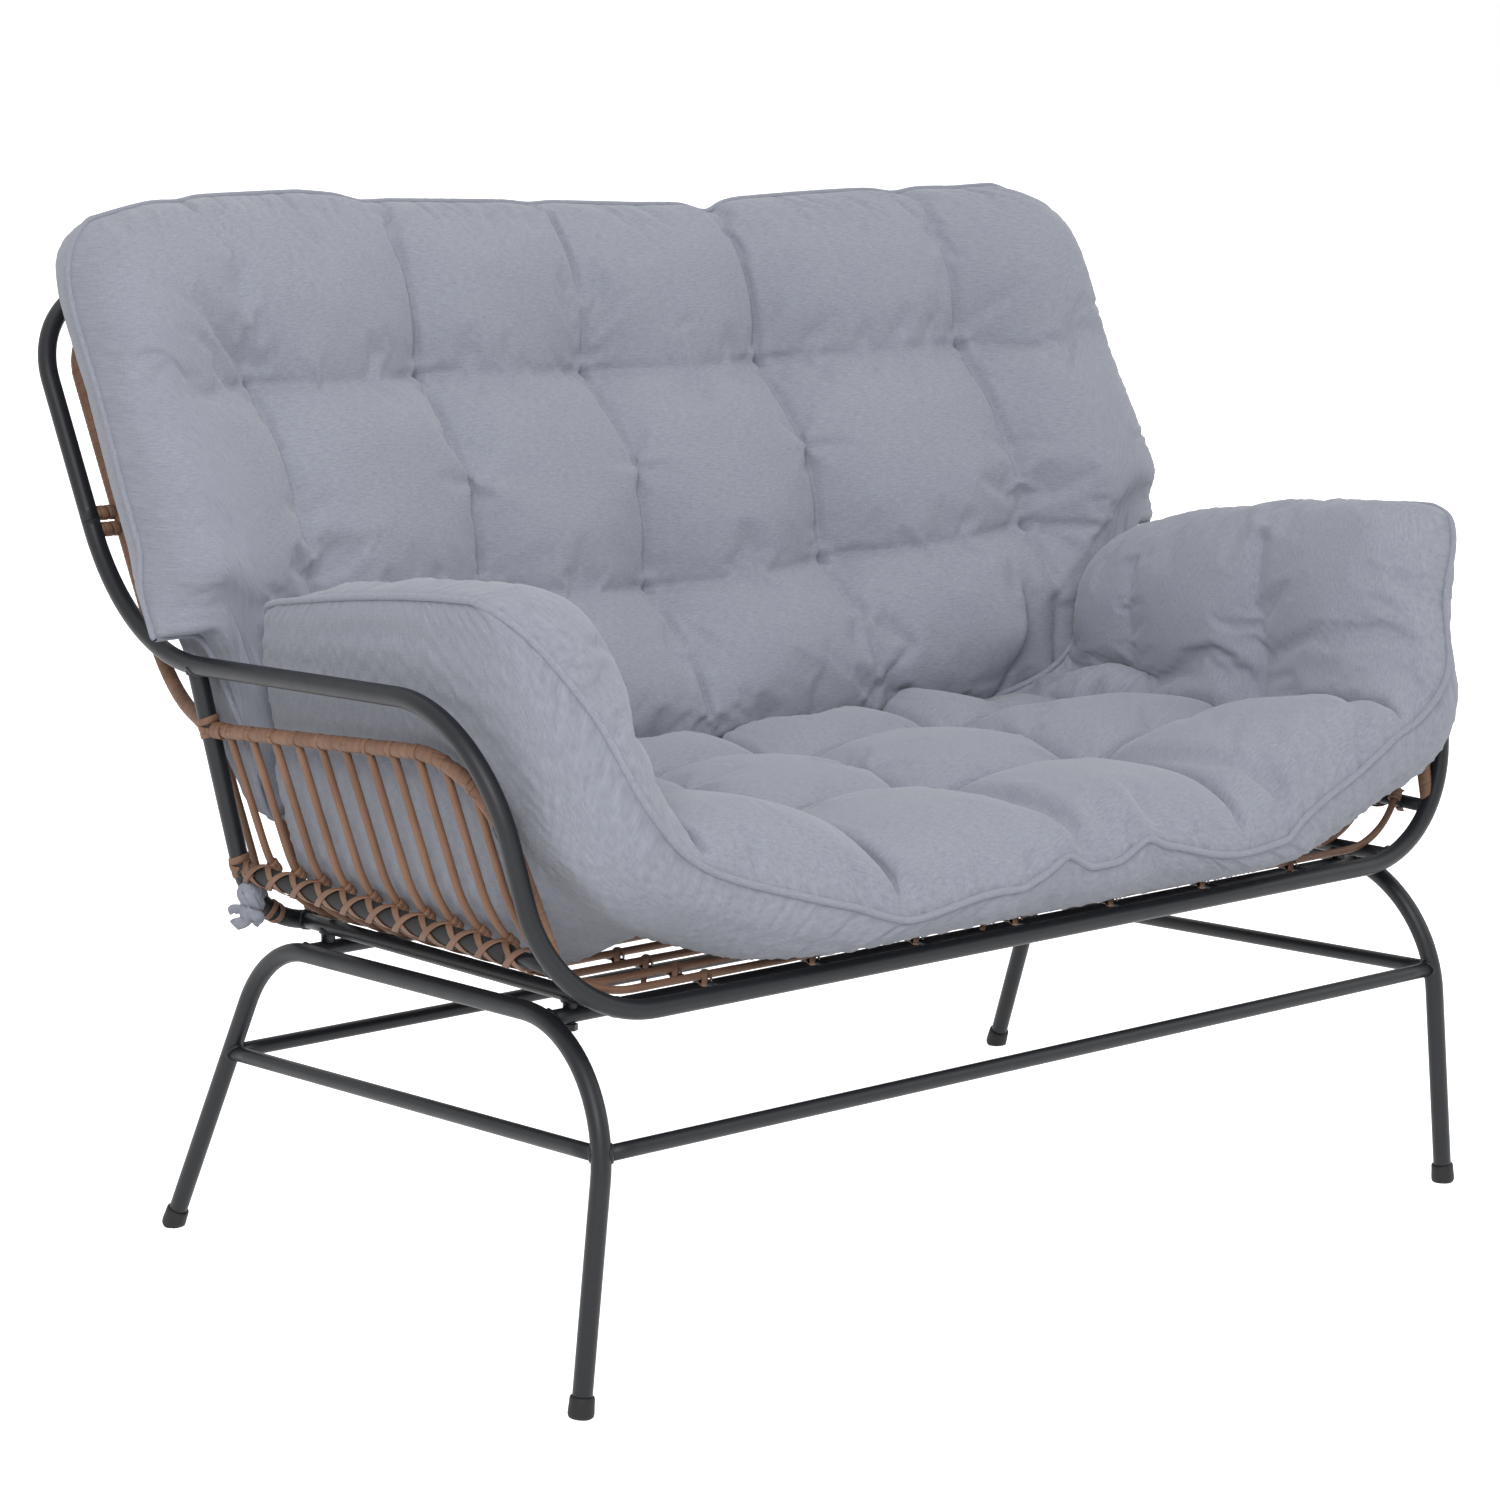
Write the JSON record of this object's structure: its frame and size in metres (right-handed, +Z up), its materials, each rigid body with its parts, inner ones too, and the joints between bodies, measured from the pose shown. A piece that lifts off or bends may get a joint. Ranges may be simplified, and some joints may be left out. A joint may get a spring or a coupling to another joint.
{
  "type": "garden sofa",
  "caption": "Garden sofa with a bent steel shell laced with rattan strands, on splayed leg loops, with a tufted back cushion and a winged seat cushion",
  "frame": {"origin": "on the floor, under the middle of the whole sofa's plan", "axes": "+Z up, the front towards -Y, +X towards the sitter's left"},
  "size_m": [1.116, 0.781, 0.878],
  "materials": {
    "frame_steel": "charcoal powder coat, satin",
    "bolt_steel": "black hexagon bolts",
    "foot_cap": "matt black moulded caps",
    "rattan_strand": "caramel brown round rattan strand with a slight sheen",
    "rattan_wrap": "flat caramel brown rattan strip wound in a close spiral",
    "cushion_fabric": "light blue-grey plain weave with crosswise slubs and piped seams"
  },
  "bodies": {
    "root": {"arm_rail_left": "rattan_wrap", "arm_rail_right": "rattan_wrap", "arm_stub_left": "frame_steel", "arm_stub_right": "frame_steel", "back_cushion": "cushion_fabric", "back_frame_tube": "frame_steel", "back_inner_rail": "rattan_wrap", "back_side_rail_left": "rattan_wrap", "back_side_rail_right": "rattan_wrap", "back_strand_panel": "rattan_strand", "cushion_tie_left": "cushion_fabric", "cushion_tie_right": "cushion_fabric", "foot_cap_front_left": "foot_cap", "foot_cap_front_right": "foot_cap", "foot_cap_rear_left": "foot_cap", "foot_cap_rear_right": "foot_cap", "front_bolt_left": "bolt_steel", "front_bolt_right": "bolt_steel", "front_cross_member": "frame_steel", "front_stretcher": "frame_steel", "lashed_side_rail_left": "frame_steel", "lashed_side_rail_right": "frame_steel", "leg_loop_left": "frame_steel", "leg_loop_right": "frame_steel", "lower_stub_left": "rattan_wrap", "lower_stub_right": "rattan_wrap", "rear_bolt_left": "bolt_steel", "rear_bolt_right": "bolt_steel", "rear_cross_member": "frame_steel", "rear_hoop": "frame_steel", "rear_stretcher": "frame_steel", "seam_spigot_left": "frame_steel", "seam_spigot_right": "frame_steel", "seat_cross_rod_1": "frame_steel", "seat_cross_rod_2": "frame_steel", "seat_cross_rod_3": "frame_steel", "seat_cross_rod_4": "frame_steel", "seat_cross_rod_5": "frame_steel", "seat_cross_rod_6": "frame_steel", "seat_cross_rod_7": "frame_steel", "seat_cushion": "cushion_fabric", "seat_frame_tube": "frame_steel", "seat_strand_1": "rattan_strand", "seat_strand_10": "rattan_strand", "seat_strand_11": "rattan_strand", "seat_strand_2": "rattan_strand", "seat_strand_3": "rattan_strand", "seat_strand_4": "rattan_strand", "seat_strand_5": "rattan_strand", "seat_strand_6": "rattan_strand", "seat_strand_7": "rattan_strand", "seat_strand_8": "rattan_strand", "seat_strand_9": "rattan_strand", "side_bottom_rail_left": "frame_steel", "side_bottom_rail_right": "frame_steel", "side_stretcher_left": "frame_steel", "side_stretcher_right": "frame_steel", "upper_stub_left": "rattan_wrap", "upper_stub_right": "rattan_wrap"}
  },
  "joints": []
}
